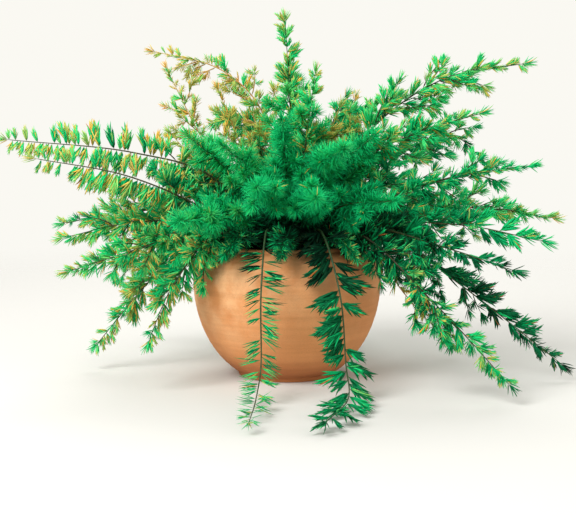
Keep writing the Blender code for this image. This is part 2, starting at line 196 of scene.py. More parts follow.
# A twig: its length, its needles, their length at its foot and at its tip, how far they lean from it there,
# their width, how far they turn out of its plane (180 is all round) and the share with a golden tone
Twig = namedtuple("Twig", "length needles reach lean width turn golden")
TWIGS = {
    "drape": Twig(0.013, 22, (0.0150, 0.0120), (18, 3), 0.00175, 40, 0.50),
    "bundle": Twig(0.011, 18, (0.0155, 0.0110), (24, 4), 0.00150, 40, 0.25),
    "slim_bundle": Twig(0.010, 9, (0.0130, 0.0100), (12, 3), 0.00135, 40, 0.22),
    "blades": Twig(0.012, 18, (0.0165, 0.0130), (27, 4), 0.00205, 40, 0.05),
    "tuft": Twig(0.007, 14, (0.0170, 0.0130), (40, 8), 0.00135, 180, 0.10),
    "brush": Twig(0.011, 20, (0.0115, 0.0085), (54, 18), 0.00115, 180, 0.28),
    "whorl": Twig(0.008, 42, (0.0185, 0.0175), (84, 62), 0.00110, 180, 0.01),
    "pompom": Twig(0.009, 44, (0.0180, 0.0135), (80, 8), 0.00110, 180, 0.01),
    "wisp": Twig(0.004, 4, (0.0215, 0.0175), (15, 3), 0.00105, 30, 0.10),
}
SHAPES_PER_TWIG = 5

# How a frond carries its twigs: the twigs it mixes, the run between two nodes, the twigs at a node, their
# lean from the stem at its foot and tip, their size there, the share that hang below, the plane they lie in
# (0 upright, 90 level), the spread about it, where the first one stands, how far their tones differ, the
# stem's column of the needle map, and its side shoots
Habit = namedtuple("Habit", "twigs step count lean size hanging plane spread start mottle bark shoots")
# Side shoots: the run between two, their length at the foot and where they end, the share of the stem
# that has them, their lean, and the twigs they carry
Shoots = namedtuple("Shoots", "step length until lean twigs")
HABITS = {
    "curtain": Habit(("drape", "drape", "bundle", "drape"), 0.0029, 1, (90, 70), (1.40, 0.90), 0.66, 0, 30,
                     0.018, 7.0, BROWN_STEM, Shoots(0.012, (0.040, 0.024), 0.46, 50, ("tuft", "drape"))),
    "leafy": Habit(("bundle", "tuft", "drape"), 0.0030, 1, (68, 40), (1.34, 0.88), 0.56, 0, 80, 0.018,
                   5.5, BROWN_STEM, Shoots(0.010, (0.046, 0.020), 0.74, 50, ("tuft", "bundle", "drape"))),
    "tufted": Habit(("tuft", "blades", "bundle"), 0.0040, 1, (64, 34), (1.25, 0.90), 0.50, 0, 95, 0.018,
                    4.5, BROWN_STEM, Shoots(0.009, (0.046, 0.024), 0.80, 48, ("tuft", "bundle", "blades"))),
    "clumped": Habit(("blades", "blades", "tuft"), 0.0058, 1, (62, 36), (1.25, 1.05), 0.52, 0, 80, 0.018,
                     3.0, GREEN_STEM, Shoots(0.014, (0.042, 0.020), 0.66, 52, ("tuft", "bundle"))),
    "sprig": Habit(("brush", "bundle", "slim_bundle"), 0.0040, 1, (64, 42), (1.15, 0.80), 0.48, 0, 100, 0.018,
                   6.0, GOLDEN_STEM, Shoots(0.011, (0.038, 0.020), 0.82, 50, ("brush", "bundle"))),
    "straggly": Habit(("slim_bundle", "bundle", "wisp"), 0.0062, 1, (62, 40), (1.15, 0.85), 0.50, 0, 70,
                      0.024, 4.0, GOLDEN_STEM, None),
    "spire": Habit(("bundle", "blades", "drape"), 0.0046, 2, (60, 46), (1.20, 0.85), 0.50, 0, 180, 0.018,
                   4.5, GREEN_STEM, Shoots(0.007, (0.042, 0.018), 0.74, 54, ("pompom", "tuft"))),
    "plume": Habit(("whorl",), 0.0060, 1, (6, 4), (1.00, 0.92), 0.50, 0, 180, 0.016,
                   2.0, GREEN_STEM, Shoots(0.011, (0.032, 0.016), 0.80, 54, ("pompom",))),
    "fringe": Habit(("brush", "tuft"), 0.0036, 2, (64, 30), (1.02, 0.80), 0.50, 0, 130, 0.016,
                    2.5, GREEN_STEM, None),
    "wispy": Habit(("wisp", "slim_bundle", "wisp"), 0.0030, 1, (80, 60), (1.20, 0.80), 0.50, 90, 34, 0.020,
                   4.0, GREEN_STEM, None),
    "paddled": Habit(("blades", "blades", "bundle"), 0.0056, 1, (68, 50), (1.38, 1.08), 0.50, 90, 36, 0.020,
                     2.0, GREEN_STEM, None),
}

# A frond's tone (0 nearly black, 24 mid green, 34 bright, 50 golden) at its foot and at its tip. The lower
# tones at the feet, and the fringe's dark tones, are partly painted shade under the crown.
TONES = {
    "curtain": (25, 35), "leafy": (25, 35), "tufted": (22, 29), "clumped": (16, 12), "sprig": (36, 48),
    "straggly": (45, 50), "spire": (25, 38), "plume": (23, 29), "fringe": (13, 22), "wispy": (11, 33),
    "paddled": (14, 19),
}
# Tones of single fronds; front_plume_right is darker as painted shade in the gap above the lip
OWN_TONES = {
    "rising_left_low": (34, 44), "right_drooping_front": (17, 27), "right_rising": (26, 38),
    "right_upper": (26, 37), "right_low_mid": (15, 28), "right_level": (21, 38), "left_plume": (27, 34),
    "front_plume_far_left": (25, 32), "front_skirt_mid": (9, 17),
    "front_plume_upper_left": (27, 33), "front_plume_right": (20, 29), "front_plume_far_right": (20, 28),
    "top_front": (26, 35),
}
SLOTS = {
    "foliage_green": ("curtain", "leafy", "tufted"),
    "foliage_dark": ("clumped", "wispy", "paddled"),
    "foliage_bright": ("spire", "plume", "fringe"),
    "foliage_golden": ("sprig", "straggly"),
}
DARK_FRONDS = ("right_drooping_front",)
GOLDEN_FRONDS = ("left_drooping_short",)


# Settings

def int_setting(name, description, default, **limits):
    return bpy.props.IntProperty(name=name, description=description, default=default, **limits)


def float_setting(name, description, default, **form):
    return bpy.props.FloatProperty(name=name, description=description, default=default, **form)


def colour_setting(name, description, rgb):
    return bpy.props.FloatVectorProperty(
        name=name, description=description, subtype="COLOR", size=4, default=(*rgb, 1.0), min=0, max=1)


class FernPotSettings(bpy.types.PropertyGroup):
    segments: int_setting("Segments", "Faces around the pot", 144, min=48)
    ring_depth: float_setting("Ring depth", "Depth of the rings left in turning", 0.00022, unit="LENGTH")
    ring_pitch: float_setting("Ring pitch", "Height from one turned ring to the next", 0.0052, unit="LENGTH")
    clay: colour_setting("Clay", "Colour of the fired clay", (0.71, 0.305, 0.112))
    deep_clay: colour_setting("Deep clay", "Colour of the clay where it fired darker", (0.50, 0.185, 0.060))
    # The bloom's colour also paints the highlight on the pot's lit side
    bloom: colour_setting("Bloom", "Colour of the pale lime bloom", (0.86, 0.56, 0.31))
    soil: colour_setting("Potting mix", "Colour of the damp potting mix", (0.035, 0.022, 0.014))


class FernFoliageSettings(bpy.types.PropertyGroup):
    seed: int_setting("Seed", "Starts the random choices of twigs and needles", 7)
    stem_radius: float_setting("Stem radius", "Radius of a stem at the soil", 0.0012, unit="LENGTH")
    tip_radius: float_setting("Tip radius", "Radius of a stem near its tip", 0.00035, unit="LENGTH")
    needle_width: float_setting("Needle width", "Width of the needles as a share of their usual width", 1.0)
    roughness: float_setting("Roughness", "Roughness of the needles", 0.5, subtype="FACTOR", min=0, max=1)


class FernStageSettings(bpy.types.PropertyGroup):
    floor: colour_setting("Floor", "Colour of the floor and backdrop", (0.66, 0.65, 0.62))
    back: float_setting("Back light", "Power of the light above and behind", 20.0, unit="POWER")
    surround: float_setting("Surround light", "Strength of the light from all round", 0.55)
    key: float_setting("Key light", "Power of the large light at upper left", 46.0, unit="POWER")
    fill: float_setting("Fill light", "Power of the light at the right", 10.0, unit="POWER")
    camera_height: float_setting("Camera height", "Height of the camera", 0.23, unit="LENGTH")
    camera_distance: float_setting("Camera distance", "Distance before the pot", 1.15, unit="LENGTH")
    lens: float_setting("Lens", "Focal length in millimetres on a 36 mm sensor", 71.3)


# Stems

def between(pair, share):
    """The value at a share of the way from the first of a pair to the second."""
    return pair[0] + (pair[1] - pair[0]) * share


def place(heading, reach, height):
    """The point at a heading, a reach from the pot's axis and a height, in the units of FRONDS."""
    radius = POT_RADIUS * min(reach, 1.0) + (SPREAD - POT_RADIUS) * max(reach - 1.0, 0.0)
    z = POT_HEIGHT * min(height, 1.0) + (PLANT_HEIGHT - POT_HEIGHT) * max(height - 1.0, 0.0)
    angle = math.radians(heading)
    return Vector((radius * math.cos(angle), radius * math.sin(angle), z))


def smooth_curve(lead, points, parts=12):
    """Points along a centripetal Catmull-Rom spline through `points`, which sets off away from `lead`."""
    padded = [lead] + points + [2 * points[-1] - points[-2]]
    curve = []
    for a, b, c, d in zip(padded, padded[1:], padded[2:], padded[3:]):
        ab, bc, cd = (math.sqrt((q - p).length) for p, q in ((a, b), (b, c), (c, d)))
        into = (b - a) / ab - (c - a) / (ab + bc) + (c - b) / bc
        out = (c - b) / bc - (d - b) / (bc + cd) + (d - c) / cd
        for i in range(parts):
            t = i / parts
            weights = (1 - 3 * t**2 + 2 * t**3, t - 2 * t**2 + t**3, 3 * t**2 - 2 * t**3, t**3 - t**2)
            curve.append(weights[0] * b + weights[1] * bc * into + weights[2] * c + weights[3] * bc * out)
    return curve + [points[-1]]


def soil_level(radius):
    """Height of the soil's top at a distance from the axis."""
    share = min(1.0, radius / MOUTH_RADIUS)
    return POT_HEIGHT - SOIL_DROP + SOIL_CROWN * (1 - share * share)


def frond_points(angle, share, places):
    """A stem's route from the soil, straight up at first, and then through its places."""
    angle = math.radians(angle)
    radius = ROOT_CIRCLE * share
    root = Vector((radius * math.cos(angle), radius * math.sin(angle), soil_level(radius)))
    start = root + Vector((0.0, 0.0, UPRIGHT_START))
    return [root] + smooth_curve(root, [start] + [place(*each) for each in places])


def leaning(stem, run, lean, turn):
    """The stem's direction, the way out of it at a turn, and the way ahead at a lean from the stem."""
    along, side, above = stem.axes(run)
    out = above * math.cos(turn) + side * math.sin(turn)
    return along, out, along * math.cos(lean) + out * math.sin(lean)


def shoot_points(stem, run, length, lean, turn):
    """A side shoot's route: out of the stem, then bending back towards the stem's own direction and down."""
    along, out, ahead = leaning(stem, run, lean, turn)
    bend = along * 0.5 - out * 0.25 - Vector((0.0, 0.0, 0.35))
    shares = [i / 6 for i in range(7)]
    return [stem.at(run) + length * (ahead * share + 0.35 * bend * share**2) for share in shares]


class Stem:
    """A stem along points, with its direction and its two cross directions at any run from its foot."""

    def __init__(self, points):
        self.table = np.array(points)
        steps = np.linalg.norm(np.diff(self.table, axis=0), axis=1)
        self.runs = np.concatenate([[0.0], np.cumsum(steps)])
        self.length = float(self.runs[-1])
        along = points[-1] - points[0]
        along.z = 0.0
        heading = along.normalized() if along.length > 0.012 else Vector((0.0, -1.0, 0.0))
        self.side = Vector((-heading.y, heading.x, 0.0))

    def at(self, run):
        return Vector([float(np.interp(run, self.runs, self.table[:, axis])) for axis in range(3)])

    def axes(self, run):
        """The stem's direction, the direction to its side and the one above it."""
        near = 0.004
        along = (self.at(min(run + near, self.length)) - self.at(max(run - near, 0.0))).normalized()
        side = (self.side - along * along.dot(self.side)).normalized()
        return along, side, along.cross(side)


# Needles, twigs and fronds

def spindle(sides, rings):
    """A closed spindle along +Z from 0 to 1 with rings of unit radius, mapped by turn and by height."""
    bm = bmesh.new()
    bmesh.ops.create_uvsphere(bm, u_segments=sides, v_segments=rings + 1, radius=1.0)
    for vert in bm.verts:
        height = 1 - math.acos(max(-1.0, min(1.0, vert.co.z))) / math.pi
        flat = vert.co.xy
        flat = flat.normalized() if flat.length > 0.001 else Vector((0.0, 0.0))
        vert.co = (flat.x, flat.y, height)
    growth = bm.loops.layers.uv.new(GROWTH_MAP)
    for face in bm.faces:
        middle = face.calc_center_median()
        facing = math.atan2(middle.y, middle.x)
        for loop in face.loops:
            x, y, height = loop.vert.co
            turn = 0.0
            if math.hypot(x, y) > 0.001:
                turn = (math.atan2(y, x) - facing + math.pi) % math.tau - math.pi
            loop[growth].uv = (0.45 * (facing + turn) / math.pi, height)
    return bm


def needle_mesh(curl):
    """A needle of unit length and width: widest at a third, pointed, its end moved by `curl` along +X."""
    bm = spindle(3, 2)
    for vert in bm.verts:
        height = vert.co.z
        if 0.01 < height < 0.99:
            low = height < 0.5
            vert.co.x *= 0.55 if low else 0.40
            vert.co.y *= 0.34 if low else 0.24
            vert.co.z = 0.24 if low else 0.72
        vert.co.x += curl * vert.co.z ** 2
    return finished_mesh(bm, "needle")


def finished_mesh(bm, name):
    mesh = bpy.data.meshes.new(name)
    bm.to_mesh(mesh)
    bm.free()
    return mesh


def add_copy(bm, mesh, matrix):
    """Adds a copy of the mesh, turned and placed by the matrix."""
    first = len(bm.verts)
    bm.from_mesh(mesh)
    bm.verts.ensure_lookup_table()
    bmesh.ops.transform(bm, matrix=matrix, verts=bm.verts[first:])


def shift_columns(bm, first_face, columns):
    """Moves the faces from `first_face` on by whole columns of the needle map."""
    growth = bm.loops.layers.uv[GROWTH_MAP]
    bm.faces.ensure_lookup_table()
    for face in bm.faces[first_face:]:
        for loop in face.loops:
            loop[growth].uv.x += columns


def twig_mesh(twig, needles, width_share, rng):
    """A twig along +Z with its needles, in the XZ plane or all round."""
    bm = bmesh.new()
    bm.loops.layers.uv.new(GROWTH_MAP)
    stalk = Matrix.Diagonal((0.0009, 0.0009, twig.length + 0.6 * twig.reach[1], 1.0))
    add_copy(bm, needles[0], stalk)
    for i in range(twig.needles):
        share = (i + rng.uniform(0.2, 0.8)) / twig.needles
        lean = between(twig.lean, share) + rng.uniform(-5, 5)
        turn = 137.5 * i if twig.turn == 180 else 180 * (i % 2)
        turn += rng.uniform(-1, 1) * min(twig.turn, 40)
        reach = between(twig.reach, share) * rng.uniform(0.82, 1.12)
        width = twig.width * width_share * rng.uniform(0.85, 1.15)
        matrix = Matrix.Translation((0.0, 0.0, share * twig.length))
        matrix @= Matrix.Rotation(math.radians(turn), 4, "Z") @ Matrix.Rotation(math.radians(lean), 4, "Y")
        first_face = len(bm.faces)
        add_copy(bm, rng.choice(needles), matrix @ Matrix.Diagonal((width, width, reach, 1.0)))
        offset = rng.choice((-5, -3, -2, -1, 0, 1, 2, 3))
        if rng.random() < twig.golden:
            offset = rng.choice((12, 16, 20, 24)) if rng.random() < 0.96 else DRY_COLUMN
        shift_columns(bm, first_face, offset)
    return finished_mesh(bm, "twig")


def make_twigs(settings):
    """Every kind of twig in a few shapes."""
    rng = random.Random(settings.seed)
    needles = [needle_mesh(curl) for curl in (0.0, -0.9, -2.2, 1.4)]
    made = {}
    for kind, twig in TWIGS.items():
        made[kind] = [twig_mesh(twig, needles, settings.needle_width, rng) for _ in range(SHAPES_PER_TWIG)]
    for mesh in needles:
        bpy.data.meshes.remove(mesh)
    return made


def stem_mesh(stem, radii, sides, column):
    """The stem as a tube with pointed ends, from its radius at the foot to that at the tip."""
    bm = spindle(sides, max(5, round(stem.length / STEM_RING)))
    for vert in bm.verts:
        share = vert.co.z
        run = share * stem.length
        _, side, above = stem.axes(run)
        radius = between(radii, share)
        vert.co = stem.at(run) + radius * (side * vert.co.x + above * vert.co.y)
    shift_columns(bm, 0, column)
    return finished_mesh(bm, "stem")


def twig_matrix(stem, run, lean, turn, size):
    """Places a twig: `turn` is 0 above the stem and 180 below it, `lean` is from the stem's direction."""
    along, out, ahead = leaning(stem, run, lean, turn)
    flat = along * math.sin(lean) - out * math.cos(lean)
    matrix = Matrix((flat, ahead.cross(flat), ahead)).transposed().to_4x4()
    return Matrix.Translation(stem.at(run)) @ matrix @ Matrix.Diagonal((size, size, size, 1.0))


class Frond:
    """The mesh of one frond as it grows, with the loops and the tone of each thing added to it."""

    def __init__(self, twigs, habit, rng):
        self.twigs = twigs
        self.habit = habit
        self.rng = rng
        self.bm = bmesh.new()
        self.bm.loops.layers.uv.new(GROWTH_MAP)
        self.counts, self.tones = [], []

    def add(self, mesh, matrix, tone):
        add_copy(self.bm, mesh, matrix)
        self.counts.append(len(mesh.loops))
        self.tones.append(tone)

    def add_twig(self, kind, matrix, tone):
        self.add(self.rng.choice(self.twigs[kind]), matrix, tone + self.rng.gauss(0, self.habit.mottle))

    def add_stem(self, stem, radii, sides):
        mesh = stem_mesh(stem, radii, sides, self.habit.bark)
        first_face = len(self.bm.faces)
        self.add(mesh, Matrix.Identity(4), 0)
        self.bm.faces.ensure_lookup_table()
        for face in self.bm.faces[first_face:]:
            face.material_index = 1
        bpy.data.meshes.remove(mesh)


def grow_shoots(frond, stem, tone_at, settings):
    """Side shoots with twigs of their own, longest near the stem's foot."""
    habit, rng = frond.habit, frond.rng
    shoots = habit.shoots
    run = habit.start + FIRST_SHOOT
    while run < shoots.until * stem.length:
        done = run / (shoots.until * stem.length)
        length = between(shoots.length, done) * rng.uniform(0.75, 1.2)
        turn = (180 if rng.random() < habit.hanging else 0) + rng.uniform(-1, 1) * max(habit.spread, 60)
        lean = shoots.lean + rng.uniform(-12, 12)
        shoot = Stem(shoot_points(stem, run, length, math.radians(lean), math.radians(turn)))
        tone = tone_at(min(1.0, (run + 0.6 * length) / stem.length))
        frond.add_stem(shoot, (0.6 * settings.stem_radius, settings.tip_radius), 4)
        spot = SHOOT_BARE
        while spot < shoot.length:
            angle = math.radians(rng.uniform(0, 360))
            twig_lean = math.radians(rng.uniform(35, 62))
            size = rng.uniform(0.62, 0.88)
            kind = rng.choice(shoots.twigs)
            if kind == "pompom":
                twig_lean *= 0.2
            frond.add_twig(kind, twig_matrix(shoot, spot, twig_lean, angle, size), tone)
            spot += habit.step * rng.uniform(1.0, 1.6)
        frond.add_twig(shoots.twigs[0], twig_matrix(shoot, shoot.length - 0.002, 0.0, 0.0, 0.75), tone + 2)
        run += shoots.step * rng.uniform(0.75, 1.25)


def grow_frond(name, twigs, settings):
    """A stem with its side shoots, twigs and needles as one mesh."""
    habit_name, angle, share, *places = FRONDS[name]
    habit = HABITS[habit_name]
    tones = OWN_TONES.get(name, TONES[habit_name])
    stem = Stem(frond_points(angle, share, places))
    rng = random.Random(f"{settings.seed} {name}")
    frond = Frond(twigs, habit, rng)

    def tone_at(done):
        # painted shade: the tone falls towards the stem's foot, deep in the crown
        return between(tones, done**1.2) - SHADE * max(0.0, SHADED_FOOT - done) / SHADED_FOOT

    run = habit.start
    while run < stem.length - 0.002:
        done = (run - habit.start) / (stem.length - habit.start)
        for _ in range(habit.count):
            lean = between(habit.lean, done) + rng.uniform(-12, 12)
            size = between(habit.size, done) * rng.uniform(0.78, 1.15)
            size *= 1 - THINNING * max(0.0, done - (1 - THIN_END)) / THIN_END
            turn = habit.plane + (180 if rng.random() < habit.hanging else 0)
            turn += rng.uniform(-1, 1) * habit.spread
            matrix = twig_matrix(stem, run, math.radians(lean), math.radians(turn), size)
            frond.add_twig(rng.choice(habit.twigs), matrix, tone_at(done))
        run += habit.step * rng.uniform(0.7, 1.3)
    end = "pompom" if habit.twigs == ("whorl",) else "tuft"
    frond.add_twig(end, twig_matrix(stem, stem.length - 0.003, 0.0, 0.0, 0.9 * habit.size[1]), tone_at(1.0))
    if habit.shoots:
        grow_shoots(frond, stem, tone_at, settings)
    frond.add_stem(stem, (settings.stem_radius, settings.tip_radius), 6)
    for face in frond.bm.faces:
        face.smooth = True
    mesh = finished_mesh(frond.bm, "foliage_" + name)
    set_maps(mesh, frond.counts, frond.tones)
    settle(mesh)
    return mesh


def set_maps(mesh, counts, columns):
    """Moves each twig's needles to its own tone, no further than golden, and gives the bake the same map."""
    uvs = np.empty(len(mesh.loops) * 2, np.float32)
    mesh.uv_layers[GROWTH_MAP].data.foreach_get("uv", uvs)
    uvs = uvs.reshape(-1, 2)
    offset = np.round(uvs[:, 0])
    across = uvs[:, 0] - offset
    column = np.round(np.repeat(columns, counts)) + offset
    column -= np.round(FOLD * np.maximum(column - GOLDEN_COLUMN, 0))
    column = np.where(offset >= DRY_COLUMN, offset, np.clip(column, 0, GOLDEN_COLUMN + 1))
    uvs[:, 0] = (column + 0.5 + across) / COLUMNS
    uvs[:, 1] = MAP_MARGIN + (1 - 2 * MAP_MARGIN) * uvs[:, 1]
    mesh.uv_layers[GROWTH_MAP].data.foreach_set("uv", uvs.ravel())
    mesh.uv_layers.new(name=BAKE_MAP).data.foreach_set("uv", uvs.ravel())


def settle(mesh):
    """Lays needles on the surface and on the pot's outside where they would go into them."""
    co = np.empty(len(mesh.vertices) * 3, np.float32)
    mesh.vertices.foreach_get("co", co)
    co = co.reshape(-1, 3)
    give = SOFT_HEIGHT - REST_HEIGHT
    low = co[:, 2] < SOFT_HEIGHT
    co[low, 2] = REST_HEIGHT + give * np.exp((co[low, 2] - SOFT_HEIGHT) / give)
    radius = np.hypot(co[:, 0], co[:, 1])
    outline = np.array(pot_curve(0.0, 0.0, POT_HEIGHT))[::-1]
    wall = np.interp(co[:, 2], outline[:, 1], outline[:, 0]) + REST_HEIGHT
    beside = (radius < wall) & (radius > MOUTH_RADIUS + 0.5 * LIP_THICKNESS)
    inside = (co[:, 2] < POT_HEIGHT - LIP_CLEAR) & beside
    pushed = np.where(inside, wall / np.maximum(radius, 0.001), 1.0)
    co[:, 0] *= pushed
    co[:, 1] *= pushed
    mesh.vertices.foreach_set("co", co.ravel())
    mesh.update()


# Pot and soil

def quarter(start, end, turn, steps):
    """Points (radius, height) of an elliptical arc, upright at start and turned by `turn` at end."""
    across = (start[0] - end[0]) / (1 - math.cos(turn))
    along = (end[1] - start[1]) / math.sin(turn)
    angles = [turn * i / steps for i in range(steps + 1)]
    return [(start[0] - across * (1 - math.cos(a)), start[1] + along * math.sin(a)) for a in angles]


def pot_curve(inset, floor, top, steps=40):
    """The belly's curve from top to bottom, moved in by `inset`."""
    belly = (POT_RADIUS - inset, BELLY_HEIGHT)
    upper = quarter(belly, (MOUTH_RADIUS + LIP_THICKNESS - inset, top), UPPER_TURN, steps)
    lower = quarter(belly, (FOOT_RADIUS - inset, floor), LOWER_TURN, steps)
    return upper[::-1] + lower[1:]


def ringed(curve, depth, pitch):
    """The curve with the shallow rings of turning cut into it."""
    cut = []
    for radius, height in curve:
        wave = 0.6 * math.sin(math.tau * height / pitch)
        wave += 0.4 * math.sin(math.tau * height / (2.7 * pitch) + 1.3)
        cut.append((radius - depth * (0.5 + 0.5 * wave), height))
    return cut


def turned(name, profile, closed, segments):
    """A solid turned about Z from its section."""
    bm = bmesh.new()
    verts = [bm.verts.new((radius, 0.0, height)) for radius, height in profile]
    edges = [bm.edges.new(pair) for pair in zip(verts, verts[1:])]
    if closed:
        edges.append(bm.edges.new((verts[-1], verts[0])))
    bmesh.ops.spin(
        bm, geom=verts + edges, axis=(0.0, 0.0, 1.0), cent=(0.0, 0.0, 0.0), angle=math.tau,
        steps=segments, use_merge=True)
    bmesh.ops.remove_doubles(bm, verts=bm.verts[:], dist=0.000005)
    bmesh.ops.recalc_face_normals(bm, faces=bm.faces[:])
    for face in bm.faces:
        face.smooth = True
    return finished_mesh(bm, name)


def foot_groove(height):
    """The depth of the fine lines above the foot at a height."""
    return sum(LINE_DEPTH * math.exp(-((height - line) / LINE_WIDTH) ** 2) for line in FOOT_LINES)


def pot_section(settings):
    ring_inside = FOOT_RADIUS - FOOT_RING_WIDTH
    outer = ringed(pot_curve(0.0, FOOT_BAND, LIP_SEAT, OUTER_STEPS), settings.ring_depth, settings.ring_pitch)
    outer = [(radius - foot_groove(height), height) for radius, height in outer]
    base = FOOT_RADIUS - FOOT_TAPER
    foot = [(FOOT_RADIUS - FOOT_SHOULDER, 0.7 * FOOT_BAND), (base, FOOT_EDGE),
            (base - 0.3 * FOOT_EDGE, 0.3 * FOOT_EDGE), (base - FOOT_EDGE, 0.0)]
    under = [(ring_inside, 0.0), (ring_inside - FOOT_RECESS, FOOT_RECESS), (DRAIN_RADIUS, FOOT_RECESS)]
    inner = ringed(pot_curve(WALL, FLOOR, INNER_TOP)[::-1], -settings.ring_depth, settings.ring_pitch)
    centre = (MOUTH_RADIUS + 0.45 * LIP_THICKNESS, LIP_SEAT)
    lip = []
    for i in range(LIP_STEPS + 1):
        angle = math.pi - math.pi * i / LIP_STEPS
        lip.append((centre[0] + 0.48 * LIP_THICKNESS * math.cos(angle),
                    centre[1] + 0.5 * LIP_THICKNESS * math.sin(angle)))
    return outer + foot + under + [(DRAIN_RADIUS, FLOOR)] + inner + lip


def soil_section():
    edge = POT_HEIGHT - SOIL_DROP
    wall = pot_curve(WALL + 2 * FIT_GAP, FLOOR + FIT_GAP, INNER_TOP)
    below = [point for point in wall if point[1] < edge]
    rim = (below[0][0] - RIM_GAP, edge)
    crown = [(rim[0] * i / 24, soil_level(rim[0] * i / 24)) for i in range(24)]
    return crown + [rim] + below + [(0.0, FLOOR + FIT_GAP)]


def roughen_soil(mesh, seed):
    """Raises crumbs on the soil's top, fewer towards the wall."""
    rng = np.random.default_rng(seed)
    lumps = rng.uniform(-1, 1, (CRUMBS, 2)) * MOUTH_RADIUS
    heights = rng.uniform(*CRUMB_HEIGHT, CRUMBS)
    widths = rng.uniform(*CRUMB_WIDTH, CRUMBS)
    for vert in mesh.vertices:
        if vert.co.z > POT_HEIGHT - SOIL_DROP - 0.001:
            near = np.hypot(lumps[:, 0] - vert.co.x, lumps[:, 1] - vert.co.y)
            edge = max(0.0, 1 - (math.hypot(vert.co.x, vert.co.y) / (MOUTH_RADIUS + 0.004)) ** 6)
            vert.co.z += edge * float((heights * np.exp(-(near / widths) ** 2)).max())


# Materials

def group_tree(name, inputs, outputs):
    """A shader node group with named sockets, given as (name, type, default)."""
    group = bpy.data.node_groups.new(name, "ShaderNodeTree")
    for label, kind, default in inputs:
        socket = group.interface.new_socket(name=label, in_out="INPUT", socket_type=kind)
        if default is not None:
            socket.default_value = default
    for label, kind in outputs:
        group.interface.new_socket(name=label, in_out="OUTPUT", socket_type=kind)
    return group, group.nodes.new("NodeGroupInput"), group.nodes.new("NodeGroupOutput")


def set_inputs(tree, node, inputs):
    """Links each input that is given a socket, and sets each one that is given a value."""
    for key, value in inputs.items():
        if isinstance(value, bpy.types.NodeSocket):
            tree.links.new(value, node.inputs[key])
        else:
            node.inputs[key].default_value = value


def add_node(tree, kind, inputs=None, **values):
    """A shader node with its properties set and its inputs set or linked."""
    node = tree.nodes.new("ShaderNode" + kind)
    for key, value in values.items():
        setattr(node, key, value)
    set_inputs(tree, node, inputs or {})
    return node


def math_node(tree, operation, first, second=0.0, third=0.0, clamp=False):
    inputs = {0: first, 1: second, 2: third}
    return add_node(tree, "Math", inputs, operation=operation, use_clamp=clamp).outputs[0]


def times(tree, first, second, clamp=False):
    return math_node(tree, "MULTIPLY", first, second, clamp=clamp)


def ranged(tree, value, start, end, low=0.0, high=1.0, curve="LINEAR"):
    """The value as it goes from low to high between start and end."""
    inputs = {0: value, 1: start, 2: end, 3: low, 4: high}
    return add_node(tree, "MapRange", inputs, interpolation_type=curve).outputs[0]


def noise(tree, place_at, scale, detail, roughness=0.5):
    inputs = {"Vector": place_at, "Scale": scale, "Detail": detail, "Roughness": roughness}
    return add_node(tree, "TexNoise", inputs).outputs[0]


def ramp(tree, factor, stops):
    """A colour ramp with stops of (position, colour), where a single number is a grey."""
    node = add_node(tree, "ValToRGB", {0: factor})
    elements = node.color_ramp.elements
    while len(elements) < len(stops):
        elements.new(0.5)
    for element, (position, colour) in zip(elements, stops):
        element.position = position
        rgb = colour if isinstance(colour, tuple) else (colour,) * 3
        element.color = (*rgb, 1.0)
    return node.outputs["Color"]


def mix(tree, blend, factor, first, second):
    inputs = {0: factor, 6: first, 7: second}
    return add_node(tree, "Mix", inputs, data_type="RGBA", blend_type=blend).outputs[2]


def new_material(name, roughness, specular):
    material = bpy.data.materials.new(name)
    material.use_nodes = True
    shader = material.node_tree.nodes["Principled BSDF"]
    set_inputs(material.node_tree, shader, {
        "Roughness": roughness, "Specular IOR Level": specular, "Metallic": 0.0})
    return material, material.node_tree, shader


TONE_STOPS = (
    (0, (0.001, 0.020, 0.009)), (8, (0.002, 0.070, 0.027)), (16, (0.002, 0.190, 0.066)),
    (24, (0.002, 0.42, 0.135)), (32, (0.014, 0.66, 0.20)), (39, (0.14, 0.66, 0.17)),
    (45, (0.38, 0.56, 0.14)), (49, (0.72, 0.56, 0.13)), (52, (0.80, 0.40, 0.06)), (58, (0.40, 0.13, 0.03)),
    (60, (0.12, 0.10, 0.035)), (61, (0.060, 0.068, 0.028)), (62, (0.035, 0.085, 0.030)),
    (63, (0.50, 0.29, 0.07)),
)


def growth_group():
    """From the needle map: the tone's colour, how far up the needle, and how near its edge."""
    group, given, result = group_tree(
        "growth marks", [("Map", "NodeSocketVector", None)],
        [("Tone", "NodeSocketColor"), ("Along", "NodeSocketFloat"), ("Edge", "NodeSocketFloat")])
    parts = add_node(group, "SeparateXYZ", {0: given.outputs["Map"]})
    column = times(group, parts.outputs[0], float(COLUMNS))
    whole = math_node(group, "FLOOR", column)
    middle = math_node(group, "DIVIDE", math_node(group, "ADD", whole, 0.5), float(COLUMNS))
    stops = [((number + 0.5) / COLUMNS, colour) for number, colour in TONE_STOPS]
    off = math_node(group, "SUBTRACT", math_node(group, "SUBTRACT", column, whole), 0.5)
    edge = times(group, math_node(group, "ABSOLUTE", off), 2.2, clamp=True)
    set_inputs(group, result, {"Tone": ramp(group, middle, stops), "Along": parts.outputs[1], "Edge": edge})
    return group


def growth_marks(tree, group):
    """The marks that the shared group reads from the needle map."""
    growth_map = add_node(tree, "UVMap", uv_map=GROWTH_MAP)
    return add_node(tree, "Group", {"Map": growth_map.outputs[0]}, node_tree=group).outputs


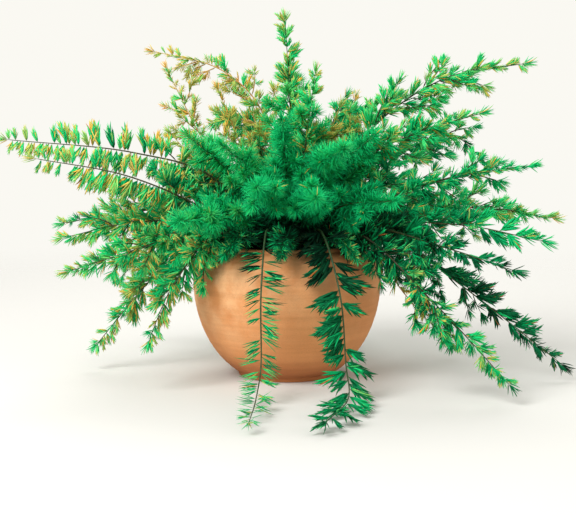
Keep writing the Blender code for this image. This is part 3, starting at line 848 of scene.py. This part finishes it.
def foliage_material(name, group, settings, tint, tip):
    """Needles: their own tone, paler along the middle, darker at the foot and turning at the very tip."""
    material, tree, shader = new_material(name, settings.roughness, 0.08)
    marks = growth_marks(tree, group)
    along, edge = marks["Along"], marks["Edge"]
    tinted = mix(tree, "MULTIPLY", 1.0, marks["Tone"], (*tint, 1.0))
    length_shade = ramp(tree, along, [(0.0, (0.55, 0.62, 0.55)), (0.3, (0.92, 0.95, 0.92)),
                                      (0.8, (1.12, 1.10, 1.06)), (1.0, (1.2, 1.12, 1.0))])
    shaded = mix(tree, "MULTIPLY", 1.0, tinted, length_shade)
    ribbed = mix(tree, "MULTIPLY", edge, shaded, (0.80, 0.86, 0.82, 1.0))
    at_tip = times(tree, math_node(tree, "SUBTRACT", along, 0.9, clamp=True), 6.0, clamp=True)
    turned_tip = mix(tree, "MIX", at_tip, ribbed, (*tip, 1.0))
    rough = math_node(tree, "MULTIPLY_ADD", edge, 0.16, settings.roughness - 0.06)
    set_inputs(tree, shader, {"Base Color": turned_tip, "Roughness": rough})
    return material


def stem_material(group):
    """Stems: bark of their own tone, greener at the foot and at the tip, with nodes along it."""
    material, tree, shader = new_material("fern stem", 0.55, 0.3)
    marks = growth_marks(tree, group)
    along, edge = marks["Along"], marks["Edge"]
    ageing = ramp(tree, along, [(0.0, (0.65, 1.15, 0.9)), (0.2, (0.9, 0.95, 0.9)), (0.65, (1.1, 0.95, 0.9)),
                                (1.0, (0.95, 1.3, 1.0))])
    bark = mix(tree, "MULTIPLY", 1.0, marks["Tone"], ageing)
    nodes_along = math_node(tree, "SINE", times(tree, along, 190.0))
    knots = times(tree, math_node(tree, "ADD", nodes_along, 1.0), 0.5, clamp=True)
    knotted = mix(tree, "MULTIPLY", knots, bark, (0.72, 0.70, 0.66, 1.0))
    ribbed = mix(tree, "MULTIPLY", edge, knotted, (0.8, 0.8, 0.8, 1.0))
    rough = ramp(tree, knots, [(0.0, 0.48), (1.0, 0.66)])
    set_inputs(tree, shader, {"Base Color": ribbed, "Roughness": rough})
    return material


def grain_group():
    """Fine grain and slow patches in Object coordinates, for clay and soil."""
    group, given, result = group_tree(
        "clay grain",
        [("Place", "NodeSocketVector", None), ("Patch size", "NodeSocketFloat", 14.0),
         ("Grain size", "NodeSocketFloat", 900.0)],
        [("Patches", "NodeSocketFloat"), ("Grain", "NodeSocketFloat"), ("Specks", "NodeSocketFloat")])
    place_at = given.outputs["Place"]
    patches = noise(group, place_at, given.outputs["Patch size"], 4.0, 0.55)
    grain = noise(group, place_at, given.outputs["Grain size"], 3.0, 0.6)
    specks = add_node(group, "TexVoronoi", {"Vector": place_at, "Scale": 420.0})
    set_inputs(group, result, {"Patches": patches, "Grain": grain, "Specks": specks.outputs["Distance"]})
    return group


def grain_marks(tree, group, patch_size):
    """Where a point is on its object, and the marks of the shared grain there."""
    place_at = add_node(tree, "TexCoord").outputs["Object"]
    grain = add_node(tree, "Group", {"Place": place_at, "Patch size": patch_size}, node_tree=group)
    return place_at, grain.outputs


def clay_material(group, settings):
    """Fired clay: patches of lighter and darker firing, lime bloom laid on heavier on the left as a painted
    highlight, turned lines, grain, and a foot darkened partly as a damp stain and partly as painted shade.
    """
    material, tree, shader = new_material("terracotta", 0.8, 0.3)
    place_at, grain = grain_marks(tree, group, 17.0)
    patches, fine = grain["Patches"], grain["Grain"]
    stretched = add_node(tree, "Mapping", {"Vector": place_at, "Scale": (6.0, 6.0, 190.0)})
    lines = noise(tree, stretched.outputs[0], 1.0, 3.0)
    fired = ramp(tree, patches, [(0.30, 0.0), (0.70, 1.0)])
    clay = mix(tree, "MIX", fired, tuple(settings.deep_clay), tuple(settings.clay))
    clay = mix(tree, "MIX", 0.5, clay, tuple(settings.clay))
    shifted = add_node(tree, "Mapping", {"Vector": place_at, "Location": (0.31, 0.12, 0.57)})
    cloud = noise(tree, shifted.outputs[0], 26.0, 6.0, 0.62)
    parts = add_node(tree, "SeparateXYZ", {0: place_at})
    height = parts.outputs[2]
    upper = ranged(tree, height, 0.02, 0.110)
    # painted highlight: the bloom is laid on heavier towards -X, the side the key light falls on
    painted_lit_side = ranged(tree, parts.outputs[0], 0.02, -0.05, 0.35, 1.0)
    bloom_and_painted_highlight = ramp(tree, cloud, [(0.42, 0.0), (0.68, 1.0)])
    bloom_and_painted_light_reach = times(tree, upper, painted_lit_side)
    bloom_and_painted_highlight = times(tree, bloom_and_painted_highlight, times(tree, bloom_and_painted_light_reach, 0.8))
    clay = mix(tree, "MIX", bloom_and_painted_highlight, clay, tuple(settings.bloom))
    lined = ramp(tree, lines, [(0.30, (0.86, 0.83, 0.80)), (0.62, (1.04, 1.04, 1.04))])
    clay = mix(tree, "MULTIPLY", 0.6, clay, lined)
    # Darker towards the foot: partly a damp stain, partly painted shade under the belly
    foot = times(tree, ranged(tree, height, 0.034, 0.004, curve="SMOOTHSTEP"), 0.8)
    clay = mix(tree, "MULTIPLY", foot, clay, (0.56, 0.42, 0.36, 1.0))
    flecks = ramp(tree, grain["Specks"], [(0.08, 0.80), (0.22, 1.0)])
    clay = mix(tree, "MULTIPLY", 0.7, clay, flecks)
    clay = mix(tree, "MULTIPLY", 0.35, clay, ramp(tree, fine, [(0.3, 0.82), (0.7, 1.12)]))
    rough = ramp(tree, fine, [(0.3, 0.70), (0.7, 0.90)])
    relief = math_node(tree, "ADD", times(tree, lines, 0.7), times(tree, fine, 0.3))
    bump = add_node(tree, "Bump", {"Height": relief, "Strength": 0.35, "Distance": 0.0005})
    set_inputs(tree, shader, {"Base Color": clay, "Roughness": rough, "Normal": bump.outputs[0]})
    return material


def soil_material(group, settings):
    """Damp potting mix: dark crumbs, paler fibres and a few white grains."""
    material, tree, shader = new_material("potting mix", 0.92, 0.2)
    _, grain = grain_marks(tree, group, 160.0)
    crumbs = ramp(tree, grain["Patches"], [(0.35, 0.35), (0.5, 1.0), (0.7, (2.6, 2.3, 1.9))])
    mixed = mix(tree, "MULTIPLY", 1.0, crumbs, tuple(settings.soil))
    white = ramp(tree, grain["Specks"], [(0.05, 1.0), (0.12, 0.0)])
    mixed = mix(tree, "MIX", white, mixed, (0.42, 0.38, 0.31, 1.0))
    rough = ramp(tree, grain["Grain"], [(0.3, 0.80), (0.7, 0.98)])
    bump = add_node(tree, "Bump", {"Height": grain["Grain"], "Strength": 0.6, "Distance": 0.001})
    set_inputs(tree, shader, {"Base Color": mixed, "Roughness": rough, "Normal": bump.outputs[0]})
    return material


# Operators

def link_piece(mesh, name, materials, node):
    """Puts a mesh in the scene as a piece that stands for a node of the frame."""
    piece = bpy.data.objects.new(name, mesh)
    bpy.context.scene.collection.objects.link(piece)
    for material in materials:
        mesh.materials.append(material)
    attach(piece, "root")
    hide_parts(node)
    return piece


def shared_group(name, build):
    return bpy.data.node_groups.get(name) or build()


class FERN_OT_make_pot(bpy.types.Operator):
    """Turn the terracotta pot"""

    bl_idname = "fern.make_pot"
    bl_label = "Make the pot"

    def execute(self, context):
        settings = context.scene.fern_pot
        mesh = turned("clay_pot", pot_section(settings), True, settings.segments)
        clay = clay_material(shared_group("clay grain", grain_group), settings)
        link_piece(mesh, "clay_pot", [clay], "pot")
        return {"FINISHED"}


class FERN_OT_make_soil(bpy.types.Operator):
    """Fill the pot with potting mix"""

    bl_idname = "fern.make_soil"
    bl_label = "Make the soil"

    def execute(self, context):
        settings = context.scene.fern_pot
        mesh = turned("potting_mix", soil_section(), False, 96)
        roughen_soil(mesh, context.scene.fern_foliage.seed)
        soil = soil_material(shared_group("clay grain", grain_group), settings)
        link_piece(mesh, "potting_mix", [soil], "soil")
        return {"FINISHED"}


class FrondMaker:
    """Grows every frond of its habits."""

    habits = ()
    tint = (1.0, 1.0, 1.0)
    tip = (0.10, 0.30, 0.08)

    def execute(self, context):
        settings = context.scene.fern_foliage
        group = shared_group("growth marks", growth_group)
        leaf = foliage_material(self.leaf_name, group, settings, self.tint, self.tip)
        bark = bpy.data.materials.get("fern stem") or stem_material(group)
        twigs = make_twigs(settings)
        for name, spec in FRONDS.items():
            if spec[0] not in self.habits:
                continue
            slot = next(slot for slot, habits in SLOTS.items() if spec[0] in habits)
            slot = "foliage_dark" if name in DARK_FRONDS else slot
            slot = "foliage_golden" if name in GOLDEN_FRONDS else slot
            mesh = grow_frond(name, twigs, settings)
            link_piece(mesh, "foliage_" + name, [leaf, bark], "frond_" + name)
        for meshes in twigs.values():
            for mesh in meshes:
                bpy.data.meshes.remove(mesh)
        return {"FINISHED"}


class FERN_OT_make_sprays(FrondMaker, bpy.types.Operator):
    """Grow the long leafy sprays at the sides and back"""

    bl_idname = "fern.make_sprays"
    bl_label = "Make the sprays"
    habits = ("curtain", "leafy", "tufted", "clumped")
    leaf_name = "spray needles"


class FERN_OT_make_plumes(FrondMaker, bpy.types.Operator):
    """Grow the dense upright and forward plumes, and the short fringe over the lip"""

    bl_idname = "fern.make_plumes"
    bl_label = "Make the plumes"
    habits = ("spire", "plume", "fringe")
    leaf_name = "plume needles"
    tint = (1.0, 1.04, 1.08)
    tip = (0.03, 0.40, 0.15)


class FERN_OT_make_sprigs(FrondMaker, bpy.types.Operator):
    """Grow the airy golden sprigs"""

    bl_idname = "fern.make_sprigs"
    bl_label = "Make the sprigs"
    habits = ("sprig", "straggly")
    leaf_name = "sprig needles"
    tint = (1.05, 1.0, 0.95)
    tip = (0.50, 0.40, 0.12)


class FERN_OT_make_trailers(FrondMaker, bpy.types.Operator):
    """Grow the two stems that trail over the lip and lie on the surface"""

    bl_idname = "fern.make_trailers"
    bl_label = "Make the trailing stems"
    habits = ("wispy", "paddled")
    leaf_name = "trailing needles"
    tint = (0.95, 0.95, 0.95)
    tip = (0.14, 0.20, 0.05)


class FERN_OT_set_stage(bpy.types.Operator):
    """Set the floor, the lights and the camera"""

    bl_idname = "fern.set_stage"
    bl_label = "Set the stage"

    def execute(self, context):
        settings = context.scene.fern_stage
        scene = context.scene
        floor = bpy.data.objects.new("floor", floor_mesh())
        scene.collection.objects.link(floor)
        floor.data.materials.append(floor_material(settings))
        scene.world = studio_world(settings)
        add_light("key", settings.key, 1.1, (-0.95, -1.15, 1.35))
        add_light("fill", settings.fill, 1.4, (1.5, -1.0, 0.7))
        add_light("back", settings.back, 1.2, (0.2, 1.3, 1.5))
        camera = bpy.data.objects.new("camera", bpy.data.cameras.new("camera"))
        camera.data.lens = settings.lens
        camera.data.sensor_width = 36.0
        set_up(camera, (0.0, -settings.camera_distance, settings.camera_height), (0.001, 0.0, 0.116))
        scene.camera = camera
        scene.view_settings.view_transform = "Standard"
        return {"FINISHED"}


def set_up(thing, location, target):
    """Puts a camera or a light in the scene, facing its target."""
    thing.location = location
    thing.rotation_euler = (Vector(target) - thing.location).to_track_quat("-Z", "Y").to_euler()
    bpy.context.scene.collection.objects.link(thing)


def floor_mesh():
    bm = bmesh.new()
    bmesh.ops.create_circle(bm, cap_ends=True, segments=64, radius=FLOOR_RADIUS)
    return finished_mesh(bm, "floor")


def floor_material(settings):
    """A pale matt floor that fades out towards its edge."""
    material, tree, shader = new_material("stage", 0.9, 0.1)
    shader.inputs["Base Color"].default_value = settings.floor
    place_at = add_node(tree, "TexCoord").outputs["Object"]
    away = add_node(tree, "VectorMath", {0: place_at}, operation="LENGTH").outputs["Value"]
    fade = ranged(tree, away, 0.3, 0.9 * FLOOR_RADIUS, 1.0, 0.0, "SMOOTHSTEP")
    tree.links.new(fade, shader.inputs["Alpha"])
    return material


def studio_world(settings):
    """A pale surround that is seen brighter than it lights."""
    world = bpy.data.worlds.new("studio")
    world.use_nodes = True
    tree = world.node_tree
    seen = add_node(tree, "LightPath").outputs["Is Camera Ray"]
    strength = math_node(tree, "MULTIPLY_ADD", seen, 1.0 - settings.surround, settings.surround)
    background = tree.nodes["Background"]
    background.inputs["Color"].default_value = (0.96, 0.945, 0.89, 1.0)
    tree.links.new(strength, background.inputs["Strength"])
    return world


def add_light(name, power, size, location):
    """A square soft light that faces the plant."""
    light = bpy.data.lights.new(name, "AREA")
    light.energy = power
    light.size = size
    set_up(bpy.data.objects.new(name, light), location, (0.0, 0.0, 0.15))


class FERN_PT_sidebar(bpy.types.Panel):
    """The fern's pieces in the order they are made"""

    bl_idname = "FERN_PT_sidebar"
    bl_label = "Potted asparagus fern"
    bl_space_type = "VIEW_3D"
    bl_region_type = "UI"
    bl_category = "Fern"

    def draw(self, context):
        for settings in (context.scene.fern_pot, context.scene.fern_foliage, context.scene.fern_stage):
            box = self.layout.box()
            for label in settings.__annotations__:
                box.prop(settings, label)
        for step in STEPS:
            self.layout.operator(step.bl_idname)


STEPS = (
    FERN_OT_make_pot, FERN_OT_make_soil, FERN_OT_make_sprays, FERN_OT_make_plumes,
    FERN_OT_make_sprigs, FERN_OT_make_trailers, FERN_OT_set_stage,
)
SETTINGS = {"fern_pot": FernPotSettings, "fern_foliage": FernFoliageSettings, "fern_stage": FernStageSettings}


def register():
    for settings in SETTINGS.values():
        bpy.utils.register_class(settings)
    for step in STEPS + (FERN_PT_sidebar,):
        bpy.utils.register_class(step)
    for name, settings in SETTINGS.items():
        setattr(bpy.types.Scene, name, bpy.props.PointerProperty(type=settings))


def unregister():
    for name in SETTINGS:
        delattr(bpy.types.Scene, name)
    for step in STEPS + (FERN_PT_sidebar,):
        bpy.utils.unregister_class(step)
    for settings in SETTINGS.values():
        bpy.utils.unregister_class(settings)


def main():
    register()
    bpy.ops.fern.make_pot()
    bpy.ops.fern.make_soil()
    bpy.ops.fern.make_sprays()
    bpy.ops.fern.make_plumes()
    bpy.ops.fern.make_sprigs()
    bpy.ops.fern.make_trailers()
    bpy.ops.fern.set_stage()


if __name__ == "__main__":
    main()
